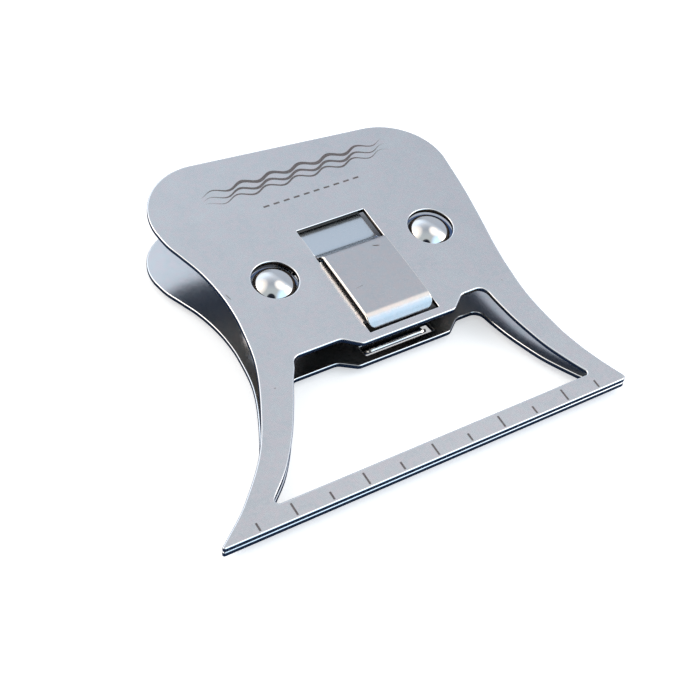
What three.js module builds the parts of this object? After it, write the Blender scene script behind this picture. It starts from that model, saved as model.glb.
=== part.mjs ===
// Wide-jaw spring clamp that holds a strip of fur, feather or hair while a fly is tied.
//
// Two flat steel plates of the same outline meet along a 60 mm jaw and part towards the
// handle. Two balls sit in round holes of both plates and are the fulcrum. One strip of
// spring steel, bent to a C, comes out through a window in each plate, lies over the bridge
// in front of it and hooks into a slot, so it pulls the two jaws together.
//
// Frame, in millimetres: X along the jaw with 0 at the ruler's zero, Y from the jaw to the
// handle, Z up. The lower plate lies flat. The origin is on its underside, in the middle of
// the jaw bar's width.
import * as THREE from 'three';

// ---- driving dimensions ----

const PLATE_THICKNESS = 0.7;
const PLATE_LENGTH = 56.6; // jaw front to the highest point of the handle's rear edge
const JAW_LEFT = 30.6; // ruler zero to the left tip, before it is rounded
const JAW_RIGHT = 29.7;
const JAW_BAR = 2.8; // width of the bar along the jaw
const JAW_GAP = 0.15; // between the two inner faces at the jaw's front
const LEFT_TIP_RADIUS = 0.25;
const RIGHT_TIP_RADIUS = 0.6;
const HANDLE_LEFT = 15.25; // ruler zero to the handle's two sides
const HANDLE_RIGHT = 29.6;
const HANDLE_RADIUS = 9.1; // of the handle's two rear corners
const HANDLE_SLANT = 0.101; // fall of the rear edge for each mm towards +X
const WAIST_LEFT = 12.38; // ruler zero to the narrowest place on the left
const NECK_RIGHT = 25.62; // and on the right
const LEFT_TIP_SOLID = 8.6; // left tip to the big opening's front corner, before rounding
const RIGHT_TIP_SOLID = 4.4;
const OPENING_RADIUS = 0.45;
const LEFT_ARM = 3.55; // waist to the opening's rear corner, along the jaw
const RIGHT_ARM = 4.92;
const SHOULDER_RADIUS = 1.4;
const TONGUE_Y = 19.23; // jaw front to the front edge of the solid middle
const TONGUE_HALF_WIDTH = 7.2;
const RECESS_DEPTH = 1.84; // of the recess on each side of the tongue
const RECESS_RUN = 2.3; // length of the slanted edge between the two

const SPRING_X = 7.7; // the line that slot, windows and balls are centred on
const SLOT_WALL = 1.3; // metal between the tongue's edge and the slot
const SLOT_LENGTH = 1.85;
const BRIDGE_LENGTH = 11.3; // metal between slot and window
const WINDOW_LENGTH = 6.15;

const BALL_DIAMETER = 8.4;
const BALL_HOLE_DIAMETER = 6.34;
const BALL_SPACING = 24.7; // between the two ball centres
const BALL_Y = 33.35; // jaw front to the ball holes
const BALL_CLEARANCE = 0.2; // between a ball and the rim that it sits in

const STRIP_WIDTH = 10;
const STRIP_THICKNESS = 0.45;
const STRIP_SIDE_CLEARANCE = 0.35; // between the strip and the window's side
const STRIP_CLEARANCE = 0.2; // between the strip and a plate's face or edge
const STRIP_LIFT = 0.55; // gap under the flap at its two ends
const STRIP_BOW = 0.1; // extra gap half way along the flap
const STRIP_BEND = 0.7; // radius of the bend behind the flap, to the strip's middle
const LIP_BEND = 1.5; // radius of the bend at the flap's front
const JOGGLE_BEND = 2; // radius of the bend inside the window
const JOGGLE_SLOPE = THREE.MathUtils.degToRad(50); // of the strip as it dips into the window
const LIP_LEAN = 0.35; // how far the lip leans forward for each mm down
const LIP_REACH = 0.25; // how far the lip's end reaches into the slot
const LIP_CORNER = 0.95; // rounding of the lip's two corners
const BACK_START = 2.2; // window's rear wall to where the C's round back begins

// ---- the fulcrum ----

// Each ball rests on the inner rims of its two holes. How deep it sinks into them sets how
// far apart the inner faces stand there, and so half of the angle between the plates.
const holeRadius = BALL_HOLE_DIAMETER / 2;
const seatRadius = BALL_DIAMETER / 2 + BALL_CLEARANCE;
const ballDepth = Math.sqrt(seatRadius ** 2 - holeRadius ** 2);
const halfAngle = Math.atan2(ballDepth, BALL_Y)
  - Math.asin(JAW_GAP / 2 / Math.hypot(ballDepth, BALL_Y));
const ballAlong = (BALL_Y + (JAW_GAP / 2) * Math.sin(halfAngle)) / Math.cos(halfAngle);

// ---- outline tools ----

// The point a share fx, fy of the way from p to q.
function between(p, q, fx, fy) {
  return new THREE.Vector2(p.x + (q.x - p.x) * fx, p.y + (q.y - p.y) * fy);
}

// The points of a smooth curve through the given ones, four steps for each span.
function smooth(through) {
  return new THREE.SplineCurve(through).getPoints((through.length - 1) * 4);
}

// An arc of radius r that rounds the corner c between the points before and after it.
function rounded(before, c, after, r, steps = 5) {
  const back = before.clone().sub(c).normalize();
  const on = after.clone().sub(c).normalize();
  const half = Math.acos(THREE.MathUtils.clamp(back.dot(on), -1, 1)) / 2;
  const reach = r / Math.tan(half);
  const centre = c.clone().addScaledVector(back.clone().add(on).normalize(), r / Math.sin(half));
  const start = c.clone().addScaledVector(back, reach).sub(centre).angle();
  const end = c.clone().addScaledVector(on, reach).sub(centre).angle();
  const turn = THREE.MathUtils.euclideanModulo(end - start + Math.PI, 2 * Math.PI) - Math.PI;
  const points = [];
  for (let i = 0; i <= steps; i += 1) {
    const a = start + (turn * i) / steps;
    points.push(new THREE.Vector2(centre.x + r * Math.cos(a), centre.y + r * Math.sin(a)));
  }
  return points;
}

// ---- plate ----

const recessY = TONGUE_Y + RECESS_DEPTH;
const slotFront = TONGUE_Y + SLOT_WALL;
const slotRear = slotFront + SLOT_LENGTH;
const windowFront = slotRear + BRIDGE_LENGTH;
const windowRear = windowFront + WINDOW_LENGTH;
const windowHalfWidth = STRIP_WIDTH / 2 + STRIP_SIDE_CLEARANCE;

// The plate's outer edge, anticlockwise from the left tip.
function outerEdge() {
  const leftTip = new THREE.Vector2(-JAW_LEFT, 0);
  const rightTip = new THREE.Vector2(JAW_RIGHT, 0);
  const neck = new THREE.Vector2(NECK_RIGHT, TONGUE_Y - 2);
  const waist = new THREE.Vector2(-WAIST_LEFT, BALL_Y - 2.15);

  // The rear edge falls to the right, so its direction and the corners' centres do too.
  const slant = Math.atan(HANDLE_SLANT);
  const leftCentre = new THREE.Vector2(-HANDLE_LEFT + HANDLE_RADIUS, PLATE_LENGTH - HANDLE_RADIUS);
  const span = HANDLE_RIGHT + HANDLE_LEFT - 2 * HANDLE_RADIUS;
  const rightCentre = new THREE.Vector2(
    HANDLE_RIGHT - HANDLE_RADIUS,
    leftCentre.y - span * HANDLE_SLANT,
  );
  const corner = (centre, from, to) => Array.from({ length: 11 }, (_, i) => {
    const a = from + ((to - from) * i) / 10;
    return new THREE.Vector2(
      centre.x + HANDLE_RADIUS * Math.cos(a),
      centre.y + HANDLE_RADIUS * Math.sin(a),
    );
  });
  const rightCorner = corner(rightCentre, -0.05, Math.PI / 2 - slant);
  const leftCorner = corner(leftCentre, Math.PI / 2 - slant, Math.PI + 0.05);
  const handleRight = rightCorner[0];
  const handleLeft = leftCorner[leftCorner.length - 1];

  const rightSide = smooth([
    between(rightTip, neck, 0.09, 0.045),
    between(rightTip, neck, 0.44, 0.247),
    between(rightTip, neck, 0.7, 0.442),
    between(rightTip, neck, 0.885, 0.66),
    neck,
    between(neck, handleRight, 0.09, 0.19),
    between(neck, handleRight, 0.26, 0.36),
    between(neck, handleRight, 0.5, 0.53),
    between(neck, handleRight, 0.79, 0.76),
    handleRight,
  ]);
  const leftSide = smooth([
    handleLeft,
    between(waist, handleLeft, 0.878, 0.83),
    between(waist, handleLeft, 0.6, 0.67),
    between(waist, handleLeft, 0.251, 0.46),
    between(waist, handleLeft, 0.042, 0.224),
    waist,
    between(waist, leftTip, 0.0176, 0.1154),
    between(waist, leftTip, 0.078, 0.2885),
    between(waist, leftTip, 0.2152, 0.4776),
    between(waist, leftTip, 0.4155, 0.6814),
    between(waist, leftTip, 0.69, 0.8564),
    between(waist, leftTip, 0.9, 0.956),
  ]);
  return [
    ...rounded(leftSide[leftSide.length - 1], leftTip, rightTip, LEFT_TIP_RADIUS),
    ...rounded(leftTip, rightTip, rightSide[0], RIGHT_TIP_RADIUS),
    ...rightSide.slice(1),
    ...rightCorner.slice(1),
    ...leftCorner,
    ...leftSide.slice(1, -1),
  ];
}

// The edge of the big opening between the two arms, from its left front corner.
function openingEdge() {
  const frontLeft = new THREE.Vector2(-JAW_LEFT + LEFT_TIP_SOLID, JAW_BAR);
  const frontRight = new THREE.Vector2(JAW_RIGHT - RIGHT_TIP_SOLID, JAW_BAR);
  const rearLeft = new THREE.Vector2(-WAIST_LEFT + LEFT_ARM, recessY);
  const rearRight = new THREE.Vector2(NECK_RIGHT - RIGHT_ARM, recessY);
  const tongue = [-1, 1].map((side) => ({
    front: new THREE.Vector2(SPRING_X + side * TONGUE_HALF_WIDTH, TONGUE_Y),
    rear: new THREE.Vector2(SPRING_X + side * (TONGUE_HALF_WIDTH + RECESS_RUN), recessY),
  }));
  const right = smooth([
    between(frontRight, rearRight, 0.13, 0.062),
    between(frontRight, rearRight, 0.348, 0.19),
    between(frontRight, rearRight, 0.574, 0.341),
    between(frontRight, rearRight, 0.739, 0.504),
    between(frontRight, rearRight, 0.88, 0.684),
    between(frontRight, rearRight, 0.975, 0.88),
  ]);
  const left = smooth([
    between(rearLeft, frontLeft, 0.045, 0.08),
    between(rearLeft, frontLeft, 0.1344, 0.179),
    between(rearLeft, frontLeft, 0.275, 0.36),
    between(rearLeft, frontLeft, 0.465, 0.5785),
    between(rearLeft, frontLeft, 0.689, 0.784),
    between(rearLeft, frontLeft, 0.93, 0.945),
  ]);
  return [
    ...rounded(left[left.length - 1], frontLeft, frontRight, OPENING_RADIUS),
    ...rounded(frontLeft, frontRight, right[0], OPENING_RADIUS),
    ...right.slice(1, -1),
    ...rounded(right[right.length - 1], rearRight, tongue[1].rear, SHOULDER_RADIUS),
    ...rounded(rearRight, tongue[1].rear, tongue[1].front, 0.8, 3),
    ...rounded(tongue[1].rear, tongue[1].front, tongue[0].front, 0.8, 3),
    ...rounded(tongue[1].front, tongue[0].front, tongue[0].rear, 0.8, 3),
    ...rounded(tongue[0].front, tongue[0].rear, rearLeft, 0.8, 3),
    ...rounded(tongue[0].rear, rearLeft, left[0], SHOULDER_RADIUS),
    ...left.slice(1, -1),
  ];
}

// A rectangle across the spring's line, from one Y to another.
function slotEdge(y0, y1) {
  return [[-1, y0], [1, y0], [1, y1], [-1, y1]].map(
    ([side, y]) => new THREE.Vector2(SPRING_X + side * windowHalfWidth, y),
  );
}

function ballHole(side) {
  const hole = new THREE.Path();
  hole.absarc(SPRING_X + (side * BALL_SPACING) / 2, BALL_Y, holeRadius, 0, 2 * Math.PI, true);
  return hole.getPoints(16).slice(0, -1);
}

// The plate's solid, with one face at 0 and the other at the plate's thickness.
function plateGeometry() {
  const shape = new THREE.Shape(outerEdge());
  shape.holes = [
    openingEdge(),
    slotEdge(slotFront, slotRear),
    slotEdge(windowFront, windowRear),
    ballHole(-1),
    ballHole(1),
  ].map((points) => new THREE.Path(points));
  return new THREE.ExtrudeGeometry(shape, { depth: PLATE_THICKNESS, bevelEnabled: false });
}

// ---- spring ----

// The strip's middle line beside the upper plate, as points (along the plate, above its
// inner face), from the lip's end to where the C's back begins.
function legLine() {
  const flapLevel = PLATE_THICKNESS + STRIP_LIFT + STRIP_THICKNESS / 2;
  const innerLevel = -(STRIP_CLEARANCE + STRIP_THICKNESS / 2);
  const lipY = slotFront + 0.45 * SLOT_LENGTH;
  const lipLevel = PLATE_THICKNESS - LIP_REACH;
  const lipEnd = new THREE.Vector2(lipY + LIP_LEAN * (lipLevel - PLATE_THICKNESS / 2), lipLevel);
  const frontBend = new THREE.Vector2(lipEnd.x + LIP_LEAN * (flapLevel - lipLevel), flapLevel);

  // The dip passes the window's front wall at the strip's clearance.
  const besideWall = windowFront + (STRIP_THICKNESS / 2 + STRIP_CLEARANCE) / Math.sin(JOGGLE_SLOPE);
  const rearBend = new THREE.Vector2(
    besideWall - (flapLevel - PLATE_THICKNESS) / Math.tan(JOGGLE_SLOPE),
    flapLevel,
  );
  const joggle = new THREE.Vector2(
    besideWall + (PLATE_THICKNESS - innerLevel) / Math.tan(JOGGLE_SLOPE),
    innerLevel,
  );
  const backStart = new THREE.Vector2(windowRear + BACK_START, innerLevel);

  const top = between(frontBend, rearBend, 0.5, 0.5);
  top.y += STRIP_BOW;
  const halfFlap = (rearBend.x - frontBend.x) / 2;
  const bowRadius = (0.8 * halfFlap * halfFlap) / STRIP_BOW;
  return [
    lipEnd,
    ...rounded(lipEnd, frontBend, top, LIP_BEND, 10),
    ...rounded(frontBend, top, rearBend, bowRadius, 8),
    ...rounded(top, rearBend, joggle, STRIP_BEND, 6),
    ...rounded(rearBend, joggle, backStart, JOGGLE_BEND, 8),
    backStart,
  ];
}

// The whole middle line, seen from the side in the frame of the plane between the plates.
function stripLine() {
  const cos = Math.cos(halfAngle);
  const sin = Math.sin(halfAngle);
  const upper = legLine().map(
    (p) => new THREE.Vector2(p.x * cos - p.y * sin, JAW_GAP / 2 + p.x * sin + p.y * cos),
  );
  const start = upper[upper.length - 1];
  const radius = start.y / cos;
  const centreY = start.x + radius * sin;
  const back = [];
  const sweep = Math.PI / 2 + halfAngle;
  for (let i = 1; i < 24; i += 1) {
    const a = sweep - (2 * sweep * i) / 24;
    back.push(new THREE.Vector2(centreY + radius * Math.cos(a), radius * Math.sin(a)));
  }
  const lower = upper.map((p) => new THREE.Vector2(p.x, -p.y)).reverse();
  return [...upper, ...back, ...lower];
}

// Points of the middle line with extra ones close to both ends, where the corners are round.
function withCornerSteps(line) {
  const path = new THREE.Path(line);
  const length = path.getLength();
  const steps = [0, 0.08, 0.3, 0.62, 1].map((share) => share * LIP_CORNER);
  const beyondCorners = line.filter(
    (p) => Math.min(p.distanceTo(line[0]), p.distanceTo(line[line.length - 1])) > 1.1 * LIP_CORNER,
  );
  return [
    ...steps.map((s) => path.getPoint(s / length)),
    ...beyondCorners,
    ...steps.map((s) => path.getPoint(1 - s / length)).reverse(),
  ];
}

// The strip: at every point of its middle line a cross-section, narrower at the lips' ends.
function stripGeometry() {
  const line = withCornerSteps(stripLine());
  const last = line.length - 1;
  const positions = [];
  line.forEach((p, i) => {
    const along = line[Math.min(i + 1, last)].clone().sub(line[Math.max(i - 1, 0)]).normalize();
    const out = new THREE.Vector2(-along.y, along.x).multiplyScalar(STRIP_THICKNESS / 2);
    const toEnd = Math.min(p.distanceTo(line[0]), p.distanceTo(line[last]), LIP_CORNER);
    const corner = LIP_CORNER - Math.sqrt(LIP_CORNER ** 2 - (LIP_CORNER - toEnd) ** 2);
    const half = STRIP_WIDTH / 2 - corner;
    [[-half, 1], [half, 1], [half, -1], [-half, -1]].forEach(([x, side]) => {
      positions.push(x, p.x + side * out.x, p.y + side * out.y);
    });
  });
  const indices = [];
  for (let i = 0; i < last; i += 1) {
    for (let k = 0; k < 4; k += 1) {
      const a = 4 * i + k;
      const b = 4 * i + ((k + 1) % 4);
      indices.push(a, b, b + 4, a, b + 4, a + 4);
    }
  }
  const end = 4 * last;
  indices.push(0, 2, 1, 0, 3, 2, end, end + 1, end + 2, end, end + 2, end + 3);
  const geometry = new THREE.BufferGeometry();
  geometry.setAttribute('position', new THREE.Float32BufferAttribute(positions, 3));
  geometry.setIndex(indices);
  geometry.computeVertexNormals();
  return geometry;
}

// ---- assembly ----

const satinSteel = new THREE.MeshStandardMaterial({ color: 0xb2b8be, metalness: 1, roughness: 0.32 });
const springSteel = new THREE.MeshStandardMaterial({ color: 0xbec6cd, metalness: 1, roughness: 0.25 });
const ballSteel = new THREE.MeshStandardMaterial({ color: 0xdfe3e6, metalness: 1, roughness: 0.05 });

function part(name, geometry, material) {
  const mesh = new THREE.Mesh(geometry, material);
  mesh.name = name;
  return mesh;
}

// Everything is placed about the plane half way between the plates, and the whole is then
// turned by half the angle so that the lower plate lies flat.
const group = new THREE.Group();
group.rotation.x = halfAngle;
group.position.set(
  0,
  -JAW_BAR / 2 - (JAW_GAP / 2) * Math.sin(halfAngle),
  PLATE_THICKNESS + (JAW_GAP / 2) * Math.cos(halfAngle),
);

const upperPlate = part('upper_plate', plateGeometry(), satinSteel);
upperPlate.position.z = JAW_GAP / 2;
upperPlate.rotation.x = halfAngle;
group.add(upperPlate);

// The lower plate's inner face is its upper one, so its solid lies below that face.
const lowerMount = new THREE.Group();
lowerMount.position.z = -JAW_GAP / 2;
lowerMount.rotation.x = -halfAngle;
const lowerPlate = part('lower_plate', plateGeometry(), satinSteel);
lowerPlate.position.z = -PLATE_THICKNESS;
lowerMount.add(lowerPlate);
group.add(lowerMount);

const spring = part('clamp_spring', stripGeometry(), springSteel);
spring.position.x = SPRING_X;
group.add(spring);

[['ball_left', -1], ['ball_right', 1]].forEach(([name, side]) => {
  const ball = part(name, new THREE.SphereGeometry(BALL_DIAMETER / 2, 32, 20), ballSteel);
  ball.position.set(SPRING_X + (side * BALL_SPACING) / 2, ballAlong, 0);
  group.add(ball);
});

export default group;
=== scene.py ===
import bpy
import numpy as np
from mathutils.geometry import tessellate_polygon
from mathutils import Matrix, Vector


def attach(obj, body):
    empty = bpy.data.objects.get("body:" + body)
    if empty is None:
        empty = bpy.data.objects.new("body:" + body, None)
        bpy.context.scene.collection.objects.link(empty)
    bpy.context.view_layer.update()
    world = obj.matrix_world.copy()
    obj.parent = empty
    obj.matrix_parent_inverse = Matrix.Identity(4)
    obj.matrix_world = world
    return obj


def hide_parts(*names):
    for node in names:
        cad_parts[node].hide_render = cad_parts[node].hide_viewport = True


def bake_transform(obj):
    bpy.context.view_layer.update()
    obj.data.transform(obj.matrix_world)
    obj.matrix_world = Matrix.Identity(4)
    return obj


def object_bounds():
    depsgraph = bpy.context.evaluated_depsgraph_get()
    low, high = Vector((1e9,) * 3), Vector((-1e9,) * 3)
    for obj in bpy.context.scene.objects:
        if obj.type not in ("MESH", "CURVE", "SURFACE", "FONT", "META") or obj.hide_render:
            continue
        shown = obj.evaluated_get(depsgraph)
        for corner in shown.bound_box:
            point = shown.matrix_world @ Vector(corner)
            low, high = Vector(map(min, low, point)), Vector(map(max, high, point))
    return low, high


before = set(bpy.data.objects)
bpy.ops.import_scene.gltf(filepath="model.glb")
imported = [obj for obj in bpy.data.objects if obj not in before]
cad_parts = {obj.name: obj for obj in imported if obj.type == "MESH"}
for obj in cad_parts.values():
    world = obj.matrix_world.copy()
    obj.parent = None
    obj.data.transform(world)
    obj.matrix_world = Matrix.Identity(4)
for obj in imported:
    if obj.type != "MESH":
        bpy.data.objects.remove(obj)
cad_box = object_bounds()

# ---------------------------------------------------------------------------------------
# Lower plate. Laser-cut from 0.7 mm stainless sheet, then tumbled, so its faces are a fine
# satin and its edges are rounded. The rounds carry a painted highlight, and the cut walls are
# painted dark, part laser oxide and part painted shade. The upper plate is the same cutting.
# All shapes are worked out in millimetres.

PLATE_THICKNESS, PLATE_LENGTH, JAW_BAR = 0.7, 56.6, 2.8
SPRING_X = 7.7  # the spring, its windows and the balls are set about this line


def smooth_line(points, steps=12):
    """A Catmull-Rom curve: between two points, the cubic whose slope at each is half the step
    from the point before it to the point after it."""
    p = np.asarray(points, float)
    ends = np.vstack([p[:1], p, p[-1:]])
    t = (np.arange(steps) / steps)[None, :, None]
    a, b = p[:-1, None], p[1:, None]
    ta, tb = (ends[2:-1] - ends[:-3])[:, None] / 2, (ends[3:] - ends[1:-2])[:, None] / 2
    line = (2 * a - 2 * b + ta + tb) * t**3 + (3 * b - 3 * a - 2 * ta - tb) * t**2 + ta * t + a
    return np.vstack([line.reshape(-1, 2), p[-1:]])


def rounded_corner(before, corner, after, radius, steps=10):
    """The arc of that radius that touches both straight lines at the corner: centre on the
    line that halves the corner, at radius over the sine of half the angle."""
    c = np.asarray(corner, float)
    back, on = np.asarray(before) - c, np.asarray(after) - c
    back, on = back / np.hypot(*back), on / np.hypot(*on)
    half = np.arccos(np.clip(back @ on, -1, 1)) / 2
    middle = (back + on) / np.hypot(*(back + on))
    centre = c + middle * radius / np.sin(half)
    start, end = (c + d * radius / np.tan(half) - centre for d in (back, on))
    a0 = np.arctan2(start[1], start[0])
    turn = (np.arctan2(end[1], end[0]) - a0 + np.pi) % (2 * np.pi) - np.pi
    a = a0 + turn * np.linspace(0, 1, steps)
    return centre + radius * np.stack([np.cos(a), np.sin(a)], 1)


def part_way(p, q, shares):
    """Points whose x and y are each a share of the way from p to q."""
    return np.asarray(p) + (np.asarray(q) - np.asarray(p)) * np.asarray(shares, float)


LEFT_TIP, RIGHT_TIP = (-30.6, 0), (29.7, 0)
LEFT_TIP_ROUND, RIGHT_TIP_ROUND = 0.3, 0.55
NECK, WAIST = (25.62, 17.23), (-12.38, 31.2)  # where the right and left sides are hollowest
HANDLE_LEFT, HANDLE_RIGHT, HANDLE_WIDTH = -15.25, 29.6, 44.85
HANDLE_ROUND = 9.1
HANDLE_SLANT = 0.101  # the handle's rear edge falls away to the right


def handle_corner(centre, start, end):
    """An arc of the handle's corner radius about a centre, from one angle to another."""
    a = np.linspace(start, end, 36)[:, None]
    return centre + HANDLE_ROUND * np.hstack([np.cos(a), np.sin(a)])


def outer_edge():
    """The plate's outer edge, anticlockwise: two smooth sides, two tips and two round corners.
    Each handle corner runs on a little past the side, so that the side leaves it smoothly."""
    past = 0.05
    left_centre = np.array([HANDLE_LEFT + HANDLE_ROUND, PLATE_LENGTH - HANDLE_ROUND])
    fall = (HANDLE_WIDTH - 2 * HANDLE_ROUND) * HANDLE_SLANT
    right_centre = np.array([HANDLE_RIGHT - HANDLE_ROUND, left_centre[1] - fall])
    rear = np.pi / 2 - np.arctan(HANDLE_SLANT)
    right_corner = handle_corner(right_centre, -past, rear)
    left_corner = handle_corner(left_centre, rear, np.pi + past)
    right = smooth_line(np.vstack([
        part_way(RIGHT_TIP, NECK, [(0.09, 0.045), (0.44, 0.247), (0.7, 0.442), (0.885, 0.66)]),
        [NECK],
        part_way(NECK, right_corner[0], [(0.09, 0.19), (0.26, 0.36), (0.5, 0.53), (0.79, 0.76)]),
        right_corner[:1],
    ]))
    left = smooth_line(np.vstack([
        left_corner[-1:],
        part_way(WAIST, left_corner[-1],
                 [(0.878, 0.83), (0.6, 0.67), (0.251, 0.46), (0.042, 0.224)]),
        [WAIST],
        part_way(WAIST, LEFT_TIP, [(0.0176, 0.1154), (0.078, 0.2885), (0.2152, 0.4776),
                                   (0.4155, 0.6814), (0.69, 0.8564), (0.9, 0.956)]),
    ]))
    return np.vstack([
        rounded_corner(left[-1], LEFT_TIP, RIGHT_TIP, LEFT_TIP_ROUND, 8),
        rounded_corner(LEFT_TIP, RIGHT_TIP, right[0], RIGHT_TIP_ROUND, 10),
        right[1:-1], right_corner, left_corner, left[1:-1],
    ])


FRONT_LEFT, FRONT_RIGHT, FRONT_ROUND = -22.0, 25.3, 0.45
REAR_LEFT, REAR_RIGHT, RECESS_Y, RECESS_ROUND = -8.83, 20.7, 21.07, 1.4
TONGUE_TIP, TONGUE_ROOT = 7.2, 9.5  # half widths
TONGUE_Y, TONGUE_ROUND = 19.23, 1.1


def opening_edge():
    """The edge of the opening between the arms: two smooth sides, a tongue and two recesses."""
    front_left, front_right = (FRONT_LEFT, JAW_BAR), (FRONT_RIGHT, JAW_BAR)
    rear_left, rear_right = (REAR_LEFT, RECESS_Y), (REAR_RIGHT, RECESS_Y)
    (l_tip, l_root), (r_tip, r_root) = (
        ((SPRING_X + side * TONGUE_TIP, TONGUE_Y), (SPRING_X + side * TONGUE_ROOT, RECESS_Y))
        for side in (-1, 1))
    right = smooth_line(part_way(front_right, rear_right, [
        (0.13, 0.062), (0.348, 0.19), (0.574, 0.341),
        (0.739, 0.504), (0.88, 0.684), (0.975, 0.88)]))
    left = smooth_line(part_way(rear_left, front_left, [
        (0.045, 0.08), (0.1344, 0.179), (0.275, 0.36),
        (0.465, 0.5785), (0.689, 0.784), (0.93, 0.945)]))
    return np.vstack([
        rounded_corner(left[-1], front_left, front_right, FRONT_ROUND),
        rounded_corner(front_left, front_right, right[0], FRONT_ROUND),
        right[1:-1],
        rounded_corner(right[-1], rear_right, r_root, RECESS_ROUND, 14),
        rounded_corner(rear_right, r_root, r_tip, RECESS_ROUND, 9),
        rounded_corner(r_root, r_tip, l_tip, TONGUE_ROUND, 9),
        rounded_corner(r_tip, l_tip, l_root, TONGUE_ROUND, 9),
        rounded_corner(l_tip, l_root, rear_left, RECESS_ROUND, 9),
        rounded_corner(l_root, rear_left, left[0], RECESS_ROUND, 14),
        left[1:-1],
    ])


SLOT, WINDOW = (20.53, 22.38), (33.68, 39.83)  # front and rear edges
WINDOW_HALF, LASER_CORNER = 5.35, 0.08
BALL_Y, BALL_HOLE, BALL_SPACING = 33.35, 6.34, 24.7


def slot_edge(front, rear):
    """A rectangle across the spring's line, with the small corners that a laser leaves."""
    c = [(SPRING_X + side * WINDOW_HALF, y)
         for side, y in ((-1, front), (1, front), (1, rear), (-1, rear))]
    return np.vstack([rounded_corner(c[i - 1], c[i], c[(i + 1) % 4], LASER_CORNER, 5)
                      for i in range(4)])


def ball_hole(side):
    """A circle about a ball's place, the left one for -1 and the right one for 1."""
    a = np.linspace(0, 2 * np.pi, 96, endpoint=False)
    centre = np.array([SPRING_X + side * BALL_SPACING / 2, BALL_Y])
    return centre + BALL_HOLE / 2 * np.stack([np.cos(a), np.sin(a)], 1)


TUMBLED = 0.03  # what tumbling takes off every cut edge
EDGE_ROUND, SLOT_ROUND, HOLE_ROUND = 0.17, 0.10, 0.14
EDGE_OXIDE_AND_SHADE, SLOT_OXIDE_AND_SHADE, HOLE_OXIDE_AND_SHADE = 0.78, 0.9, 1  # how dark each cut wall is painted: part laser oxide, part painted shade, darkest in the windows and holes
FLAT_RING = 0.05  # a narrow flat ring beside each round keeps its shading to itself


def edge_profile(radius, cut, dark_inside):
    """From one flat face to the other, as (in from the edge, height): flat, quarter round,
    straight wall, quarter round, flat. Also how much of each point is round and is cut wall.
    In a window the round beside the inner face is painted as dark as the wall, as shade. Cut
    says how dark the wall is painted: part laser oxide, part painted shade."""
    q = np.linspace(0, np.pi / 2, 7)
    top = np.stack([TUMBLED + radius * (1 - np.sin(q)),
                    PLATE_THICKNESS - radius * (1 - np.cos(q))], 1)
    flat = np.array([[TUMBLED + radius + FLAT_RING, PLATE_THICKNESS]])
    half, over = np.vstack([flat, top]), [0, PLATE_THICKNESS]
    rim = np.concatenate([[0, 0.5], np.ones(6)])
    wall = np.concatenate([[0, 0], np.clip((q[1:] - 0.75) / 0.5, 0, 1)])
    profile = np.vstack([half, (half * [1, -1] + over)[::-1]])
    inner = np.maximum(wall, rim * dark_inside)
    return profile, np.concatenate([rim, rim[::-1]]), cut * np.concatenate([wall, inner[::-1]])


def plate_shape():
    """The plate's points and faces. Each outline carries an edge profile round it, set in
    along the bisector at every corner; both flat faces are then filled between the outlines.
    Also gives each face's side, 1 on the upper flat face, -1 on the lower one and 0 on the
    edges, and how much of each point is round and is cut wall, and how far along it lies."""
    loops = [(outer_edge(), EDGE_ROUND, EDGE_OXIDE_AND_SHADE, 0),
             (opening_edge()[::-1], EDGE_ROUND, EDGE_OXIDE_AND_SHADE, 0),
             (slot_edge(*SLOT)[::-1], SLOT_ROUND, SLOT_OXIDE_AND_SHADE, 1),
             (slot_edge(*WINDOW)[::-1], SLOT_ROUND, HOLE_OXIDE_AND_SHADE, 1),
             (ball_hole(-1)[::-1], HOLE_ROUND, HOLE_OXIDE_AND_SHADE, 1),
             (ball_hole(1)[::-1], HOLE_ROUND, HOLE_OXIDE_AND_SHADE, 1)]
    points, faces, rim, wall, along, first = [], [], [], [], [], 0
    tops, bottoms = [], []
    for loop, *finish in loops:
        profile, profile_rim, profile_wall = edge_profile(*finish)
        n, k = len(loop), len(profile)
        reach = np.roll(loop, -1, 0) - loop
        step = reach / np.linalg.norm(reach, axis=1)[:, None]
        tangent = step + np.roll(step, 1, 0)
        tangent /= (tangent**2).sum(1)[:, None] / 2
        inward = np.stack([-tangent[:, 1], tangent[:, 0]], 1)
        ring = loop[:, None, :] + inward[:, None, :] * profile[None, :, :1]
        height = np.broadcast_to(profile[None, :, 1:], (n, k, 1))
        points.append(np.concatenate([ring, height], 2).reshape(-1, 3))
        i, j = np.meshgrid(np.arange(n), np.arange(k - 1), indexing="ij")
        a, b = first + i * k + j, first + (i + 1) % n * k + j
        faces += np.stack([a, a + 1, b + 1, b], -1).reshape(-1, 4).tolist()
        rim.append(np.tile(profile_rim, n))
        wall.append(np.tile(profile_wall, n))
        along.append(np.repeat(np.cumsum(np.hypot(*reach.T)), k))
        tops.append(first + np.arange(n) * k)
        bottoms.append(first + np.arange(n) * k + k - 1)
        first += n * k
    points, side = np.vstack(points), [np.zeros(len(faces), int)]
    for rings, up in ((tops, 1), (bottoms, -1)):
        flat = [(points[r] * [1, 1, 0]).tolist() for r in rings]
        tri = np.concatenate(rings)[np.array(tessellate_polygon(flat))]
        p = points[tri]
        turn = np.cross(p[:, 1, :2] - p[:, 0, :2], p[:, 2, :2] - p[:, 0, :2])
        wrong = turn * up < 0
        tri[wrong] = tri[wrong][:, ::-1]
        tri = tri[np.abs(turn) > 1e-12]
        faces += tri.tolist()
        side.append(np.full(len(tri), up))
    rim, wall, along = (np.concatenate(v) for v in (rim, wall, along))
    return points, faces, np.concatenate(side), dict(rim=rim, wall=wall, along=along)


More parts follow.
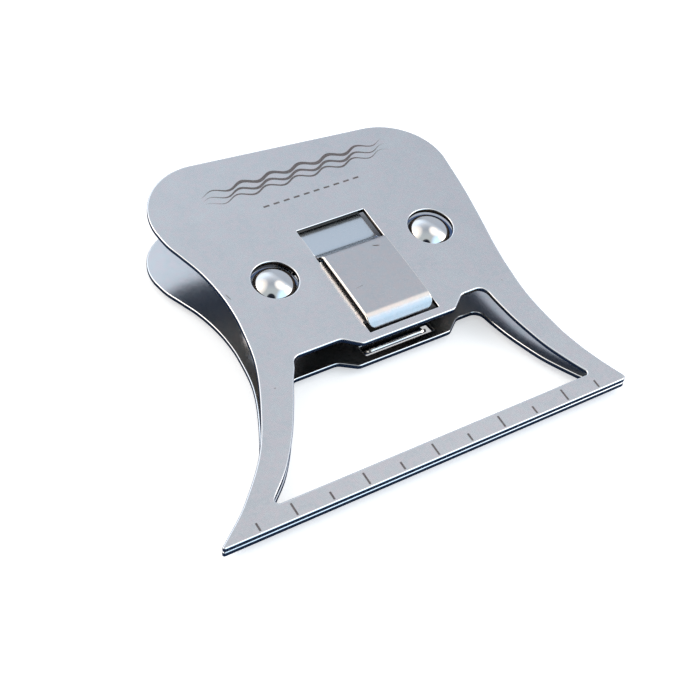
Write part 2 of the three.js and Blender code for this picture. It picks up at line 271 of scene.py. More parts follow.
def new_piece(name, points, faces, steels, choice=None, **values):
    """A mesh object at the origin from points in millimetres, with its materials, which of
    them each face has, and one value per point for each named attribute. Shaded smooth."""
    mesh = bpy.data.meshes.new(name)
    mesh.from_pydata((np.asarray(points) / 1000).tolist(), [], faces)
    for key, numbers in values.items():
        layer = mesh.attributes.new(key, "FLOAT", "POINT")
        layer.data.foreach_set("value", np.asarray(numbers, np.float32))
    for steel in steels:
        mesh.materials.append(steel)
    if choice is not None:
        mesh.polygons.foreach_set("material_index", choice.astype(np.int32))
    mesh.polygons.foreach_set("use_smooth", np.ones(len(mesh.polygons), bool))
    mesh.update()
    piece = bpy.data.objects.new(name, mesh)
    bpy.context.scene.collection.objects.link(piece)
    return piece


def plate_map(piece, plan):
    """Gives a plate a map of its own plan, in millimetres, so a mark can be set out on it."""
    layer = piece.data.uv_layers.new(name="plan")
    corner = np.empty(len(piece.data.loops), np.int32)
    piece.data.loops.foreach_get("vertex_index", corner)
    layer.data.foreach_set("uv", plan[corner].astype(np.float32).ravel())


class Shader:
    """A node tree with short calls: add a node, do sums, mix colours."""

    def __init__(self, tree):
        self.tree = tree

    def node(self, kind, inputs=(), **settings):
        n = self.tree.nodes.new(kind)
        for key, value in settings.items():
            setattr(n, key, value)
        for key, value in dict(inputs).items():
            if isinstance(value, bpy.types.NodeSocket):
                self.tree.links.new(value, n.inputs[key])
            else:
                n.inputs[key].default_value = value
        return n

    def sum(self, operation, a, b=0.0, clamp=False):
        return self.node("ShaderNodeMath", {0: a, 1: b},
                         operation=operation, use_clamp=clamp).outputs[0]

    def ramp(self, value, low, high, to_low=0.0, to_high=1.0):
        return self.node("ShaderNodeMapRange", {
            "Value": value, "From Min": low, "From Max": high, "To Min": to_low, "To Max": to_high,
        }).outputs["Result"]

    def mix(self, share, a, b):
        return self.node("ShaderNodeMix", {0: share, 6: a, 7: b}, data_type="RGBA").outputs[2]

    def noise(self, place, scale, detail=3.0, roughness=0.55):
        return self.node("ShaderNodeTexNoise", {
            "Vector": place, "Scale": scale, "Detail": detail, "Roughness": roughness,
        }).outputs["Fac"]

    def attribute(self, name):
        return self.node("ShaderNodeAttribute", attribute_name=name).outputs["Fac"]

    def object_place(self):
        return self.node("ShaderNodeTexCoord").outputs["Object"]

    def plan(self):
        across = self.node("ShaderNodeUVMap", uv_map="plan").outputs[0]
        return self.node("ShaderNodeSeparateXYZ", {0: across}).outputs

    def join(self, node, links):
        for key, value in links.items():
            self.tree.links.new(value, node.inputs[key])


def shader_group(name, inputs, outputs):
    """An empty node group with those named sockets: its tree, its sources and its sink."""
    tree = bpy.data.node_groups.new(name, "ShaderNodeTree")
    for key, (kind, value) in inputs.items():
        socket = tree.interface.new_socket(key, in_out="INPUT", socket_type=kind)
        socket.default_value = value
    for key, kind in outputs.items():
        tree.interface.new_socket(key, in_out="OUTPUT", socket_type=kind)
    source, sink = tree.nodes.new("NodeGroupInput"), tree.nodes.new("NodeGroupOutput")
    return Shader(tree), source.outputs, sink


SURFACE = {"Color": "NodeSocketColor", "Roughness": "NodeSocketFloat", "Height": "NodeSocketFloat"}


def make_tumbled_grain():
    """Tumbled steel: cloudy patches some millimetres across, a fine even mottle, and a few
    hairlines that run three ways. Gives a colour, a roughness and a height."""
    s, given, result = shader_group(
        "tumbled grain",
        {"Place": ("NodeSocketVector", (0, 0, 0)), "Light": ("NodeSocketColor", (1, 1, 1, 1)),
         "Dark": ("NodeSocketColor", (0, 0, 0, 1)), "Warm": ("NodeSocketColor", (1, 1, 1, 1)),
         "Roughness": ("NodeSocketFloat", 0.3)}, SURFACE)
    place = given["Place"]
    cloud = s.noise(place, 260.0, 4.0)
    mottle = s.noise(place, 2600.0, 3.0, 0.6)
    grain = s.noise(place, 6500.0, 2.0)
    blush = s.noise(place, 1100.0, 2.0)
    hair = []
    for turn in (0.4, 1.5, 2.5):
        lie = s.node("ShaderNodeMapping",
                     {"Vector": place, "Rotation": (0, 0, turn), "Scale": (1, 38, 1)})
        hair.append(s.ramp(s.noise(lie.outputs[0], 210.0, 1.0), 0.735, 0.77))
    hairs = s.sum("ADD", s.sum("ADD", hair[0], hair[1]), hair[2], clamp=True)
    tone = s.sum("ADD", s.ramp(cloud, 0.3, 0.7, 0.0, 0.6), s.ramp(mottle, 0.3, 0.7, 0.0, 0.4))
    colour = s.mix(tone, given["Dark"], given["Light"])
    colour = s.mix(s.ramp(blush, 0.42, 0.62, 0.0, 0.8), colour, given["Warm"])
    rough = s.sum("ADD", given["Roughness"], s.ramp(mottle, 0.3, 0.7, -0.035, 0.035))
    rough = s.sum("ADD", rough, s.sum("MULTIPLY", hairs, 0.06))
    height = s.sum("ADD", s.sum("MULTIPLY", grain, 0.2), s.sum("MULTIPLY", mottle, 0.7))
    height = s.sum("SUBTRACT", height, s.sum("MULTIPLY", hairs, 0.35))
    s.join(result, {"Color": colour, "Roughness": rough, "Height": height})
    return s.tree


def make_edge_highlight_and_shade():
    """The edge of cut sheet: a painted highlight on the round, which tumbling has also made
    smoother, and a dark cut wall, part laser oxide and part painted shade, which the laser
    leaves ribbed. Rim is 1 from the round to the wall, Wall on the wall."""
    s, given, result = shader_group(
        "edge highlight and shade",
        {"Rim": ("NodeSocketFloat", 0.0), "Wall": ("NodeSocketFloat", 0.0),
         "Along": ("NodeSocketFloat", 0.0), "Face": ("NodeSocketColor", (1, 1, 1, 1)),
         "Bright": ("NodeSocketColor", (1, 1, 1, 1)), "Cut": ("NodeSocketColor", (0, 0, 0, 1)),
         "Roughness": ("NodeSocketFloat", 0.3)}, SURFACE)
    scorched = (0.09, 0.064, 0.046, 1)
    rib = s.sum("SINE", s.sum("MULTIPLY", given["Along"], 26.0))
    run = s.node("ShaderNodeCombineXYZ", {0: given["Along"]}).outputs[0]
    uneven = s.noise(run, 1.7, 2.0)
    cut = s.mix(s.ramp(uneven, 0.35, 0.7), given["Cut"], scorched)
    # painted highlight along the rounded rim
    colour = s.mix(given["Rim"], given["Face"], given["Bright"])
    # the cut wall's dark: part laser oxide and scorch, part painted shade
    colour = s.mix(given["Wall"], colour, cut)
    rough = s.sum("ADD", s.sum("MULTIPLY", given["Rim"], -0.11), given["Roughness"])
    rough = s.sum("ADD", rough, s.sum("MULTIPLY", given["Wall"], 0.14))
    height = s.sum("MULTIPLY", s.sum("MULTIPLY", rib, given["Wall"]), 0.2)
    s.join(result, {"Color": colour, "Roughness": rough, "Height": height})
    return s.tree


tumbled_grain = make_tumbled_grain()
edge_highlight_and_shade = make_edge_highlight_and_shade()


# painted shade on the lower plate's inner face, round the spring and the balls, where shade falls
# between the plates
SHADE_MIDDLE, SHADE_HALF = (8.0, 36.0), (15.5, 18.5)
SHADE_STRENGTH, SHADE_FADE = 0.72, 0.72  # how much it covers, and where its edge begins


def painted_shade_between_plates(s):
    """Painted shade between the plates, round the spring and the balls: full strength within an
    ellipse on the plate's plan, from the sum of the squares of the distances over its half
    widths, and nothing where that sum is 1."""
    squares = []
    for place, middle, half in zip(s.plan(), SHADE_MIDDLE, SHADE_HALF):
        share = s.sum("ABSOLUTE", s.sum("DIVIDE", s.sum("SUBTRACT", place, middle), half))
        squares.append(s.sum("POWER", share, 2.0))
    return s.ramp(s.sum("ADD", *squares), SHADE_FADE, 1.0, SHADE_STRENGTH, 0.0)


def sheet_steel(name, light, dark, warm, bright, cut, roughness,
                marks=None, painted_reflection=None, painted_shade=None):
    """Satin sheet: the tumbled grain, a painted blue reflection or a painted shade where the piece
    has one, then the edge's painted highlight and dark wall, then any marks. The blue
    reflection is given as a colour and how strong it is."""
    # the first colour is painted shade between the plates; the second is the etched marks' own
    # colour
    painted_shade_colour, mark_colour = (0.05, 0.045, 0.042, 1), (0.085, 0.066, 0.066, 1)
    material = bpy.data.materials.new(name)
    material.use_nodes = True
    s = Shader(material.node_tree)
    steel = s.tree.nodes["Principled BSDF"]
    steel.inputs["Metallic"].default_value = 1.0
    grain = s.node("ShaderNodeGroup", node_tree=tumbled_grain)
    for key, value in (("Light", light), ("Dark", dark), ("Warm", warm), ("Roughness", roughness)):
        grain.inputs[key].default_value = value
    s.join(grain, {"Place": s.object_place()})
    edge = s.node("ShaderNodeGroup", node_tree=edge_highlight_and_shade)
    edge.inputs["Bright"].default_value, edge.inputs["Cut"].default_value = bright, cut
    face = grain.outputs["Color"]
    # a painted blue reflection, where the piece has one
    if painted_reflection:
        reflection_colour, strength = painted_reflection
        face = s.mix(s.attribute("reflection_share"), face, s.mix(strength, face, reflection_colour))
    # painted shade between the plates darkens the face
    if painted_shade:
        face = s.mix(painted_shade(s), face, painted_shade_colour)
    s.join(edge, {"Rim": s.attribute("rim"), "Wall": s.attribute("wall"),
                  "Along": s.attribute("along"), "Face": face,
                  "Roughness": grain.outputs["Roughness"]})
    colour, rough = edge.outputs["Color"], edge.outputs["Roughness"]
    height = s.sum("ADD", grain.outputs["Height"], edge.outputs["Height"])
    if marks:
        mark = marks(s)
        colour = s.mix(mark, colour, mark_colour)
        rough = s.sum("ADD", rough, s.sum("MULTIPLY", mark, 0.25))
        height = s.sum("SUBTRACT", height, s.sum("MULTIPLY", mark, 2.0))
        s.join(steel, {"Metallic": s.sum("SUBTRACT", 1.0, s.sum("MULTIPLY", mark, 0.9))})
    bump = s.node("ShaderNodeBump", {"Height": height, "Strength": 0.03, "Distance": 0.00004})
    s.join(steel, {"Base Color": colour, "Roughness": rough, "Normal": bump.outputs["Normal"]})
    return material


# bright paints a highlight on the rounded rims; cut paints the walls dark, part laser oxide and
# part painted shade
SATIN = dict(light=(0.655, 0.67, 0.675, 1), dark=(0.575, 0.595, 0.61, 1),
             warm=(0.665, 0.625, 0.64, 1), bright=(0.96, 0.965, 0.975, 1),
             cut=(0.026, 0.025, 0.026, 1), roughness=0.27)
satin_steel = sheet_steel("satin steel", **SATIN)
# the lower plate's inner face, with painted shade between the plates
shaded_satin_steel = sheet_steel("satin steel with painted shade", painted_shade=painted_shade_between_plates, **SATIN | dict(roughness=0.19))

plate_points, plate_faces, plate_side, plate_edges = plate_shape()
lower_plate = new_piece("lower_plate_sheet", plate_points - [0, JAW_BAR / 2, 0], plate_faces,
                        [satin_steel, shaded_satin_steel], plate_side == 1, **plate_edges)
plate_map(lower_plate, plate_points[:, :2])
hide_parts("lower_plate")
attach(lower_plate, "lower")

# ---------------------------------------------------------------------------------------
# Fulcrum balls. Two hardened bearing balls, ground and lapped to a mirror. Each lies in the
# rims of two holes, one in each plate, and nothing else holds it.

BALL_RADIUS = 4.2
BALL_CENTRE_Y, BALL_CENTRE_Z = 31.95, 3.7514


def ball_surface(centre, radius, n=56):
    """A ball as six square patches: each point of a cube's face, spaced by the tangent of an
    even angle, is moved along its own direction out to the radius."""
    a = np.tan(np.linspace(-np.pi / 4, np.pi / 4, n + 1))
    u, v = np.meshgrid(a, a, indexing="ij")
    one = np.ones_like(u)
    patches = [(u, v, one), (v, u, -one), (one, u, v), (-one, v, u), (v, one, u), (u, -one, v)]
    p = np.concatenate([np.stack(s, -1).reshape(-1, 3) for s in patches])
    p /= np.linalg.norm(p, axis=1)[:, None]
    _, first, where = np.unique(np.round(p, 6), axis=0, return_index=True, return_inverse=True)
    i, j, k = np.meshgrid(np.arange(n), np.arange(n), np.arange(6), indexing="ij")
    at = k * (n + 1) ** 2 + i * (n + 1) + j
    quads = np.stack([at, at + n + 1, at + n + 2, at + 1], -1).reshape(-1, 4)
    return np.asarray(centre) + radius * p[first], where.reshape(-1)[quads].tolist()


def make_ball_steel():
    """Lapped bearing steel: a mirror with the faintest haze and a few hairline scuffs."""
    material = bpy.data.materials.new("lapped ball steel")
    material.use_nodes = True
    s = Shader(material.node_tree)
    steel = s.tree.nodes["Principled BSDF"]
    steel.inputs["Metallic"].default_value = 1.0
    grain = s.node("ShaderNodeGroup", node_tree=tumbled_grain)
    for key, value in (("Light", (0.72, 0.73, 0.74, 1)), ("Dark", (0.66, 0.67, 0.685, 1)),
                       ("Warm", (0.72, 0.705, 0.695, 1)), ("Roughness", 0.09)):
        grain.inputs[key].default_value = value
    s.join(grain, {"Place": s.object_place()})
    bump = s.node("ShaderNodeBump", {
        "Height": grain.outputs["Height"], "Strength": 0.03, "Distance": 0.00001})
    s.join(steel, {"Base Color": grain.outputs["Color"], "Roughness": grain.outputs["Roughness"],
                   "Normal": bump.outputs["Normal"]})
    return material


ball_steel = make_ball_steel()
for ball_name, ball_side in (("left", -1), ("right", 1)):
    ball_centre = (SPRING_X + ball_side * BALL_SPACING / 2, BALL_CENTRE_Y, BALL_CENTRE_Z)
    ball_shape = ball_surface(ball_centre, BALL_RADIUS)
    ball = new_piece(f"fulcrum_ball_{ball_name}", *ball_shape, [ball_steel])
    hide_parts(f"ball_{ball_name}")
    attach(ball, f"{ball_name}_ball")

# ---------------------------------------------------------------------------------------
# Upper plate. The same cutting laid over the balls, so it rises towards the handle. A ruler
# is etched along its jaw and a plain ripple ornament on its handle. Its inner face is painted
# dark as shade between the plates.

HALF_ANGLE = 0.089002965  # half of the angle between the plates, set by ball and hole sizes
JAW_GAP = 0.15


def lay_over_balls(points):
    """Turns the plate about the jaw by the full angle and lifts it by thickness and gap."""
    c, s = np.cos(2 * HALF_ANGLE), np.sin(2 * HALF_ANGLE)
    x, y, z = np.asarray(points).T
    return np.stack([x, y * c - z * s - JAW_BAR / 2 - JAW_GAP * np.sin(HALF_ANGLE),
                     y * s + z * c + PLATE_THICKNESS + JAW_GAP * np.cos(HALF_ANGLE)], 1)


def nick(s, x, y, length, turn, width=0.09):
    """A short scratch in plan, in millimetres: full within half its length along its own line
    and within its width across it, fading to nothing a little further out."""
    place = s.node("ShaderNodeMapping", {
        "Vector": s.object_place(), "Location": (x / 1000, y / 1000, 0),
        "Rotation": (0, 0, turn)}, vector_type="TEXTURE")
    apart = s.node("ShaderNodeSeparateXYZ", {0: place.outputs[0]}).outputs
    along, across = (s.sum("ABSOLUTE", s.sum("MULTIPLY", apart[i], 1000.0)) for i in (0, 1))
    return s.sum("MULTIPLY", s.ramp(along, length * 0.25, length * 0.5, 1.0, 0.0),
                 s.ramp(across, width * 0.5, width * 1.4, 1.0, 0.0))


def within(s, value, low, high, soft=0.045):
    """1 between two values, falling softly to 0 on either side of them."""
    rise = s.ramp(value, low - soft, low + soft)
    fall = s.ramp(value, high - soft, high + soft, 1.0, 0.0)
    return s.sum("MULTIPLY", rise, fall)


RULER_STEP, RULER_FRONT = 5.0, 0.42
RULER_SHORT, RULER_LONG = 1.6, 2.22  # how far back from the jaw's edge the lines run


def ruler_lines(s, x, y):
    """A line at every step up to 25 mm each way. The distance from the nearest step gives the
    line. Every second line is longer: there, its place over two steps is a whole number."""
    nearest = s.sum("MULTIPLY", s.sum("ROUND", s.sum("DIVIDE", x, RULER_STEP)), RULER_STEP)
    off = s.sum("ABSOLUTE", s.sum("SUBTRACT", x, nearest))
    part = s.sum("FRACT", s.sum("DIVIDE", nearest, 2 * RULER_STEP))
    whole = s.sum("ABSOLUTE", s.sum("SUBTRACT", part, 0.5))
    rear = s.ramp(whole, 0.1, 0.4, RULER_SHORT, RULER_LONG)
    lines = s.sum("MULTIPLY", s.ramp(off, 0.11, 0.17, 1.0, 0.0), within(s, y, RULER_FRONT, 1.0e3))
    lines = s.sum("MULTIPLY", lines, s.ramp(s.sum("SUBTRACT", y, rear), -0.05, 0.05, 1.0, 0.0))
    return s.sum("MULTIPLY", lines, s.ramp(s.sum("ABSOLUTE", x), 25.4, 25.6, 1.0, 0.0))


RIPPLES = ((50.6, 0.0, 0.30), (49.5, 1.1, 0.24), (48.6, 2.2, 0.17))  # level, phase, half width
RIPPLE_TURN, RIPPLE_HEIGHT = 1.35, 0.42
DASH_STEP, DASH_FRONT, DASH_REAR = 1.6, 45.35, 45.65


def ripple_ornament(s, across, y):
    """Three sine ripples that thin out to both ends, and a short row of dashes under them."""
    fade = s.ramp(s.sum("ABSOLUTE", across), 8.0, 15.2, 1.0, 0.0)
    ripples = None
    for level, phase, width in RIPPLES:
        wave = s.sum("SINE", s.sum("ADD", s.sum("MULTIPLY", across, RIPPLE_TURN), phase))
        lift = s.sum("MULTIPLY", wave, RIPPLE_HEIGHT)
        gap = s.sum("ABSOLUTE", s.sum("SUBTRACT", s.sum("SUBTRACT", y, level), lift))
        thick = s.sum("MULTIPLY", fade, width)
        one = s.ramp(s.sum("SUBTRACT", gap, thick), -0.05, 0.03, 1.0, 0.0)
        one = s.sum("MULTIPLY", one, s.ramp(fade, 0.0, 0.12))
        ripples = one if ripples is None else s.sum("MAXIMUM", ripples, one)
    part = s.sum("FRACT", s.sum("DIVIDE", across, DASH_STEP))
    dash = s.sum("ABSOLUTE", s.sum("SUBTRACT", part, 0.5))
    dashes = s.sum("MULTIPLY", s.ramp(dash, 0.27, 0.31, 1.0, 0.0),
                   within(s, y, DASH_FRONT, DASH_REAR))
    dashes = s.sum("MULTIPLY", dashes, s.ramp(s.sum("ABSOLUTE", across), 7.9, 8.1, 1.0, 0.0))
    return s.sum("MAXIMUM", ripples, dashes)


PLATE_NICKS = ((-11.7, 31.1, 1.3, -1.34), (-13.4, 15.9, 0.25, 0.0), (23.7, 19.1, 0.25, 0.0))


def ruler_and_ripple(s):
    """All marks on the upper face, set out on the plate's plan and bitten a little unevenly."""
    x, y = s.plan()[:2]
    across = s.sum("SUBTRACT", x, SPRING_X + 0.3)
    marks = s.sum("MAXIMUM", ruler_lines(s, x, y), ripple_ornament(s, across, y))
    for spot in PLATE_NICKS:
        marks = s.sum("MAXIMUM", marks, s.sum("MULTIPLY", nick(s, *spot), 0.7))
    bite = s.noise(s.object_place(), 9000.0, 2.0)
    return s.sum("MULTIPLY", marks, s.ramp(bite, 0.25, 0.6, 0.72, 1.0))


etched_steel = sheet_steel("etched satin steel", marks=ruler_and_ripple, **SATIN)
# the upper plate's inner face is painted dark brown as shade between the plates
shaded_inner_steel = sheet_steel("inner steel with painted shade", **SATIN | dict(
    light=(0.34, 0.31, 0.25, 1), dark=(0.28, 0.25, 0.20, 1), warm=(0.33, 0.28, 0.22, 1),
    roughness=0.32))
upper_steel = np.select([plate_side == 1, plate_side == -1], [1, 2])
upper_plate = new_piece("upper_plate_sheet", lay_over_balls(plate_points), plate_faces,
                        [satin_steel, etched_steel, shaded_inner_steel], upper_steel, **plate_edges)
plate_map(upper_plate, plate_points[:, :2])
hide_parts("upper_plate")
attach(upper_plate, "upper")

# ---------------------------------------------------------------------------------------
# Clamp spring. One strip of hardened spring steel, bent cold to a C whose back lies between
# the plates. Each leg steps out through a window, lies over the bridge and hooks into the
# slot in front of it.

STRIP_WIDTH, STRIP_THICKNESS = 10.0, 0.45
FLAP_LIFT = 0.55  # from the plate's outer face to the flap
FLAP_BOW = 0.1
BACK_DEPTH = 0.425  # from the plate's inner face to the middle line of the C's back
BACK_START = 2.2  # from the window's rear edge to where the C's round back begins
LIP_BEND, REAR_BEND, JOGGLE_BEND = 1.5, 0.7, 2.0  # radii of the middle line
LIP_LEAN, LIP_REACH = 0.75, 0.54  # back per height, and how deep it goes into the slot
LIP_PLACE, SLOT_LENGTH = 0.45, 1.85  # the lip's place is a share of the slot's length
JOGGLE_SLOPE = np.radians(50)


def leg_line():
    """The strip's middle line beside a plate, as (along the plate, above its inner face)."""
    flap, inside = PLATE_THICKNESS + FLAP_LIFT + STRIP_THICKNESS / 2, -BACK_DEPTH
    lip_level = PLATE_THICKNESS - LIP_REACH
    lip_middle = SLOT[0] + LIP_PLACE * SLOT_LENGTH
    lip_end = np.array([lip_middle + LIP_LEAN * (lip_level - PLATE_THICKNESS / 2), lip_level])
    front = np.array([lip_end[0] + LIP_LEAN * (flap - lip_level), flap])
    beside = WINDOW[0] + BACK_DEPTH / np.sin(JOGGLE_SLOPE)
    rear = np.array([beside - (flap - PLATE_THICKNESS) / np.tan(JOGGLE_SLOPE), flap])
    joggle = np.array([beside + (PLATE_THICKNESS - inside) / np.tan(JOGGLE_SLOPE), inside])
    back = np.array([WINDOW[1] + BACK_START, inside])
    top = (front + rear) / 2 + [0, FLAP_BOW]
    bow_radius = 2 * (rear[0] - front[0])**2  # spreads the bow over four fifths of the flap
    return np.vstack([
        lip_end, rounded_corner(lip_end, front, top, LIP_BEND, 30),
        rounded_corner(front, top, rear, bow_radius, 30),
        rounded_corner(top, rear, joggle, REAR_BEND, 18),
        rounded_corner(rear, joggle, back, JOGGLE_BEND, 24), back])


def strip_line():
    """The whole middle line from the side: one leg, the C's round back, the other leg."""
    c, s = np.cos(HALF_ANGLE), np.sin(HALF_ANGLE)
    u, n = leg_line().T
    leg = np.stack([u * c - n * s, JAW_GAP / 2 + u * s + n * c], 1)
    radius = leg[-1, 1] / c
    centre = leg[-1, 0] + radius * s
    a = np.linspace(np.pi / 2 + HALF_ANGLE, -np.pi / 2 - HALF_ANGLE, 73)[1:-1]
    back = np.stack([centre + radius * np.cos(a), radius * np.sin(a)], 1)
    return np.vstack([leg, back, (leg * [1, -1])[::-1]])


def even_steps(line, step):
    """The same line with points about a step apart, and closer near both ends, where the
    corners are round. Also gives how far along it each point is."""
    far = np.concatenate([[0], np.cumsum(np.hypot(*np.diff(line, axis=0).T))])
    ends = np.concatenate([[0, 0.02, 0.06, 0.11], np.linspace(0.17, 1.1, 10)])
    middle = np.linspace(1.2, far[-1] - 1.2, int(far[-1] / step))
    at = np.concatenate([ends, middle, far[-1] - ends[::-1]])
    return np.stack([np.interp(at, far, line[:, i]) for i in (0, 1)], 1), at


STRIP_EDGE, TIP_EDGE = 0.13, 0.06  # rounding along the strip's two sides and at its ends
LIP_CORNER = 1.15
REFLECTION_START, REFLECTION_FADE = 13.6, 1.2  # how far from each end the painted blue reflection begins


def quarter_round(distance, radius):
    """How much a quarter circle takes off at a distance from where it begins."""
    return radius - np.sqrt(radius**2 - (radius - np.clip(distance, 0, radius))**2)


def strip_surface():
    """A rectangle with round sides carried along the middle line. Its half width follows a
    quarter circle near both ends, and its thickness a small one at the very end."""
    line, at = even_steps(strip_line(), 0.13)
    end = np.minimum(at, at[-1] - at)
    half = STRIP_WIDTH / 2 - quarter_round(end, LIP_CORNER)
    lost = quarter_round(end, TIP_EDGE)
    along = np.gradient(line, axis=0)
    along /= np.linalg.norm(along, axis=1)[:, None]
    out = np.stack([-along[:, 1], along[:, 0]], 1)
    q = np.linspace(0, np.pi / 2, 5)
    # one quarter of the section, from the side to the flat, as (from the side, from the flat)
    quarter = np.stack([STRIP_EDGE * (1 - np.cos(q)), STRIP_EDGE * (1 - np.sin(q))], 1)
    quarter = np.vstack([quarter, [STRIP_EDGE + 0.05, 0], [STRIP_WIDTH / 4, 0]])
    sides = [(1, 1, quarter), (-1, 1, quarter[::-1]), (-1, -1, quarter), (1, -1, quarter[::-1])]
    x = np.concatenate(
        [sx * ((half - lost)[:, None] - c[None, :, 0]) for sx, _, c in sides], 1)
    h = np.concatenate(
        [sy * ((STRIP_THICKNESS / 2 - lost)[:, None] - c[None, :, 1]) for _, sy, c in sides], 1)
    n, k = x.shape
    y = line[:, None, 0] + h * out[:, None, 0]
    z = line[:, None, 1] + h * out[:, None, 1]
    points = np.stack([x + SPRING_X, y, z], -1).reshape(-1, 3)
    i, j = np.meshgrid(np.arange(n - 1), np.arange(k), indexing="ij")
    a, b = i * k + j, i * k + (j + 1) % k
    faces = np.stack([a, a + k, b + k, b], -1).reshape(-1, 4).tolist()
    faces += [list(range(k)), list(range((n - 1) * k + k - 1, (n - 1) * k - 1, -1))]
    rim = np.tile(np.concatenate([c[:, 0] < STRIP_EDGE for _, _, c in sides]), n)
    # how much painted blue reflection each section takes, full in the strip's middle
    reflection_share = np.clip((end - REFLECTION_START) / REFLECTION_FADE, 0, 1)
    return points, faces, dict(rim=rim, wall=np.zeros(n * k), along=np.repeat(at, k),
                               reflection_share=np.repeat(reflection_share, k))


def stand_between_plates(points):
    """From the plane half way between the plates to the clamp's own frame."""
    c, s = np.cos(HALF_ANGLE), np.sin(HALF_ANGLE)
    x, y, z = points.T
    return np.stack([x, y * c - z * s - JAW_BAR / 2 - JAW_GAP / 2 * s,
                     y * s + z * c + PLATE_THICKNESS + JAW_GAP / 2 * c], 1)


def handling_marks(s):
    """Two short scratches on the flap, the second one finer and fainter."""
    deep, faint = nick(s, 10.4, 30.3, 1.2, -0.34), nick(s, 4.5, 24.9, 1.5, 0.15, 0.05)
    return s.sum("MAXIMUM", deep, s.sum("MULTIPLY", faint, 0.5))


strip_points, strip_faces, strip_edges = strip_surface()
# a cream painted highlight on the strip's rounded sides; its middle, in the windows and between
# the plates, takes a painted blue reflection
spring_steel = sheet_steel(
    "spring strip steel", light=(0.575, 0.58, 0.59, 1), dark=(0.52, 0.525, 0.54, 1),
    warm=(0.59, 0.55, 0.555, 1), bright=(1.0, 0.93, 0.86, 1), cut=(0.2, 0.2, 0.2, 1),
    roughness=0.24, marks=handling_marks, painted_reflection=((0.60, 0.67, 0.73, 1), 0.8))
clamp_spring = new_piece("clamp_spring_strip", stand_between_plates(strip_points), strip_faces,
                         [spring_steel], **strip_edges)
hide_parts("clamp_spring")
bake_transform(clamp_spring)

# ---------------------------------------------------------------------------------------
# Studio. A light tent over a pale table, with a few brighter panels. It is dark low down and
# where the camera looks in, so that the steel has something dark to reflect.

scene = bpy.context.scene
scene.view_settings.view_transform = "Standard"

camera = bpy.data.objects.new("camera", bpy.data.cameras.new("camera"))
camera.location = (-0.08280, -0.09956, 0.13311)
camera.rotation_euler = np.radians((47.892, -3.133, -31.962))
camera.data.lens = 77.34
camera.data.clip_start = 0.005
scene.collection.objects.link(camera)
scene.camera = camera

TABLE_REACH = 1.6
table_z = float(cad_box[0][2])
table = bpy.data.meshes.new("table")
table.from_pydata([(x * TABLE_REACH, y * TABLE_REACH, table_z)
                   for x, y in ((-1, -1), (1, -1), (1, 1), (-1, 1))], [], [(0, 1, 2, 3)])
table_top = bpy.data.objects.new("table", table)
scene.collection.objects.link(table_top)
pale = bpy.data.materials.new("pale table")
pale.use_nodes = True
t = Shader(pale.node_tree)
paper = t.tree.nodes["Principled BSDF"]
paper.inputs["Roughness"].default_value = 0.9
paper.inputs["Emission Strength"].default_value = 0.55
# white to the eye, deep blue to anything that reflects it
to_eye = t.node("ShaderNodeLightPath").outputs["Is Camera Ray"]
fibre = t.noise(t.object_place(), 900.0)
white = t.mix(fibre, (0.84, 0.85, 0.86, 1), (0.88, 0.89, 0.90, 1))
t.join(paper, {"Base Color": t.mix(to_eye, (0.025, 0.07, 0.19, 1), white),
               "Emission Color": t.mix(to_eye, (0, 0, 0, 1), (1, 1, 1, 1))})
table.materials.append(pale)

tent = bpy.data.worlds.new("light tent")
tent.use_nodes = True
scene.world = tent
w = Shader(tent.node_tree)
sky = w.tree.nodes["Background"]
direction = w.node("ShaderNodeTexCoord").outputs["Generated"]
up = w.node("ShaderNodeSeparateXYZ", {0: direction}).outputs[2]


def facing(*way):
    """How far a direction points that way: the cosine of the angle between them."""
    return w.node("ShaderNodeVectorMath", {0: direction, 1: way},
                  operation="DOT_PRODUCT").outputs["Value"]


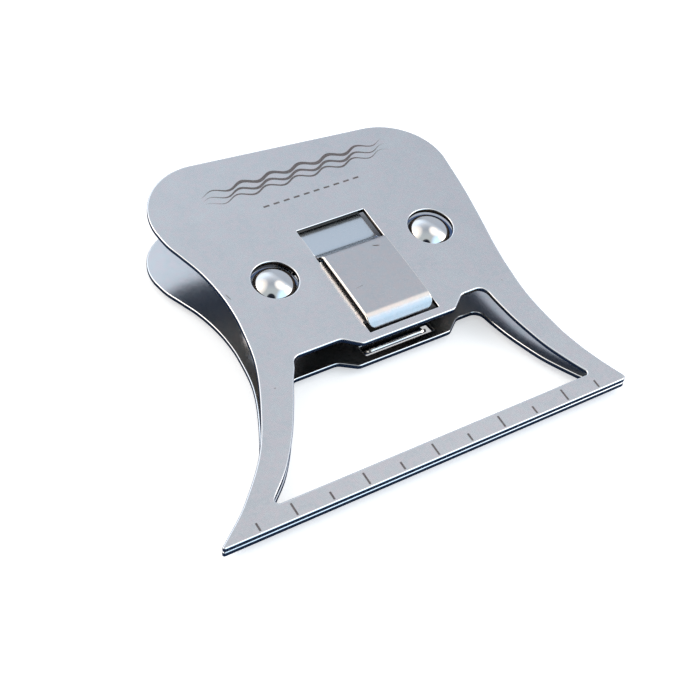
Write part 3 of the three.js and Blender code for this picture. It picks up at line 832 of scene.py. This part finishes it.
TENT_LEVELS = (  # how far up a direction points, from level at 0 to straight up at 1; colour
    (0.0, (0.05, 0.06, 0.075, 1)), (1.0, (0.30, 0.325, 0.365, 1)),
    (0.15, (0.14, 0.15, 0.17, 1)), (0.33, (0.62, 0.64, 0.67, 1)), (0.47, (0.80, 0.87, 0.95, 1)),
    (0.67, (0.74, 0.83, 0.94, 1)), (0.84, (0.52, 0.555, 0.61, 1)))
TENT_PANELS = (  # direction, where its edge begins and where it is full, colour
    ((0.434, -0.785, 0.442), 0.80, 0.93, (0.68, 0.92, 1.12, 1)),  # cool, in front
    ((-0.565, 0.433, 0.704), 0.84, 0.97, (1.0, 0.92, 0.84, 1)),  # warm, left
    ((0.733, -0.414, 0.540), 0.92, 0.98, (0.95, 0.94, 0.92, 1)),  # white, right
    ((0.425, -0.150, 0.893), 0.93, 0.98, (1.06, 0.99, 0.93, 1)),  # cream, overhead
    ((0.57, 0.82, 0.0), 0.83, 0.95, (0.11, 0.125, 0.15, 1)),  # dark, low on the far side
    ((0.85, 0.45, 0.27), 0.68, 0.86, (0.36, 0.395, 0.45, 1)))  # dim, low on the right

level = w.node("ShaderNodeValToRGB", {0: up})
stops = level.color_ramp.elements
for stop, (position, colour) in zip(stops, TENT_LEVELS[:2]):
    stop.position, stop.color = position, colour
for position, colour in TENT_LEVELS[2:]:
    stops.new(position).color = colour
towards_camera = facing(-0.57, -0.82, 0.0)
camera_side = w.ramp(towards_camera, -0.1, 0.35)
tent_colour = w.mix(camera_side, level.outputs[0], (0.40, 0.43, 0.44, 1))
for way, outer, inner, colour in TENT_PANELS:
    tent_colour = w.mix(w.ramp(facing(*way), outer, inner), tent_colour, colour)
low_front = w.sum("MULTIPLY", w.ramp(towards_camera, 0.6, 0.85), w.ramp(up, 0.5, 0.3))
tent_colour = w.mix(low_front, tent_colour, (0.03, 0.045, 0.075, 1))
mouth = w.ramp(facing(-0.424, -0.610, 0.670), 0.955, 0.972)
tent_colour = w.mix(mouth, tent_colour, (0.01, 0.012, 0.02, 1))
# the camera itself sees a plain pale backdrop in place of the tent
backdrop = w.node("ShaderNodeLightPath").outputs["Is Camera Ray"]
w.join(sky, {"Color": w.mix(backdrop, tent_colour, (0.56, 0.57, 0.58, 1))})
sky.inputs["Strength"].default_value = 1.6


def soft_light(name, place, aim, size, power, colour):
    """A square diffused panel at a place, turned to face a point."""
    lamp = bpy.data.lights.new(name, "AREA")
    lamp.size, lamp.energy, lamp.color = size, power, colour
    panel = bpy.data.objects.new(name, lamp)
    panel.location = place
    away = np.asarray(aim, float) - np.asarray(place, float)
    flat = np.hypot(away[0], away[1])
    panel.rotation_euler = (np.pi / 2 + np.arctan2(away[2], flat), 0,
                            np.arctan2(away[1], away[0]) - np.pi / 2)
    scene.collection.objects.link(panel)


soft_light("left panel", (-0.40, 0.34, 0.50), (0, 0.03, 0), 0.3, 0.5, (1.0, 0.93, 0.86))
soft_light("right panel", (0.52, -0.26, 0.38), (0, 0.03, 0), 0.3, 0.5, (1.0, 0.97, 0.94))
